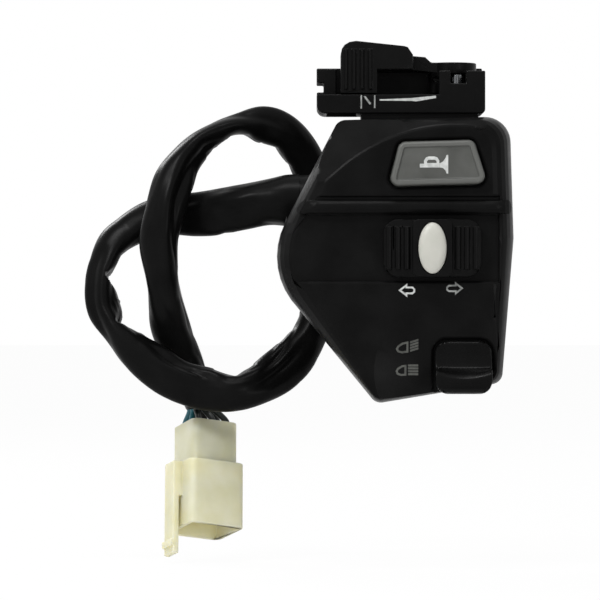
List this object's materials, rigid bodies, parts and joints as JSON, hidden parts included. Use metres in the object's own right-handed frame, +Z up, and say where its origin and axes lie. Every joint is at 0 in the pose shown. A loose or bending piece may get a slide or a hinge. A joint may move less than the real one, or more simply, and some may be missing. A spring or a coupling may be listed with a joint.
{
  "type": "handlebar switch cluster",
  "caption": "Black two-shell switch cluster for a motorbike handlebar with horn button, turn slider, beam rocker, choke lever and a looped harness ending in an ivory connector.",
  "frame": {"origin": "on the handlebar's axis, in the parting plane of the two case halves", "axes": "+X along the handlebar to the viewer's right, -Y out of the face with the switches, +Z up as the object stands in the picture, toward the choke lever"},
  "size_m": [0.118, 0.0702, 0.1426],
  "materials": {
    "case_black": "fine moulded grain, matt black ABS",
    "control_black": "smooth satin black ABS",
    "horn_grey": "satin grey ABS",
    "oval_white": "smooth white acetal",
    "connector_ivory": "translucent ivory nylon",
    "carrier_natural": "natural acetal",
    "board_brown": "brown phenolic board",
    "contact_brass": "bare contact brass",
    "steel": "zinc-plated steel",
    "barrel_zinc": "bright zinc die casting",
    "grommet_rubber": "matt black rubber",
    "sleeve_pvc": "satin black PVC sleeving, creased",
    "wire_blue": "blue PVC wire cover",
    "wire_dark": "dark PVC wire cover"
  },
  "bodies": {
    "case": {"front_case": "case_black", "rear_case": "case_black", "case_screws": "steel", "case_inserts": "contact_brass", "harness_grommet": "grommet_rubber", "harness_sleeve": "sleeve_pvc", "tail_wires_blue": "wire_blue", "tail_wires_dark": "wire_dark", "connector_housing": "connector_ivory", "connector_terminals": "contact_brass", "horn_spring": "steel", "horn_base": "board_brown", "horn_rivets": "contact_brass", "turn_base": "board_brown", "turn_rivets": "contact_brass", "beam_pin": "steel", "beam_detent": "carrier_natural", "beam_base": "board_brown", "beam_rivets": "contact_brass", "board_screws": "steel", "choke_bracket": "control_black", "choke_pivot_screw": "steel", "choke_washer": "steel", "choke_bracket_screws": "steel", "inner_wires": "wire_dark"},
    "horn": {"horn_button": "horn_grey", "horn_contact": "contact_brass"},
    "turn": {"turn_slider": "control_black", "turn_carrier": "carrier_natural", "turn_contact": "contact_brass", "turn_detent_ball": "steel", "turn_detent_spring": "steel", "cancel_spring": "steel"},
    "cancel": {"cancel_button": "oval_white", "cancel_clip": "steel"},
    "beam": {"beam_rocker": "control_black", "beam_plunger": "contact_brass", "beam_plunger_spring": "steel", "beam_contact": "contact_brass"},
    "choke": {"choke_lever": "control_black", "choke_barrel": "barrel_zinc"}
  },
  "joints": [
    {"name": "horn_press", "type": "slide", "parent": "case", "child": "horn", "axis": [0, 1, 0], "range_m": [0, 0.0022], "stiffness_N_per_m": 600, "springref_m": -0.003, "deforming": ["horn_spring"]},
    {"name": "turn_slide", "type": "slide", "parent": "case", "child": "turn", "axis": [1, 0, 0], "range_m": [-0.0035, 0.0035], "deforming": ["turn_detent_spring"]},
    {"name": "cancel_press", "type": "slide", "parent": "turn", "child": "cancel", "axis": [0, 1, 0], "range_m": [0, 0.002], "stiffness_N_per_m": 500, "springref_m": -0.002, "deforming": ["cancel_spring"]},
    {"name": "beam_rock", "type": "hinge", "parent": "case", "child": "beam", "pos_m": [0.01715, -0.0195, -0.032], "axis": [1, 0, 0], "range_deg": [0, 16]},
    {"name": "choke_turn", "type": "hinge", "parent": "case", "child": "choke", "pos_m": [0.015, 0, 0.0418], "axis": [0, 0, 1], "range_deg": [0, 55]}
  ]
}
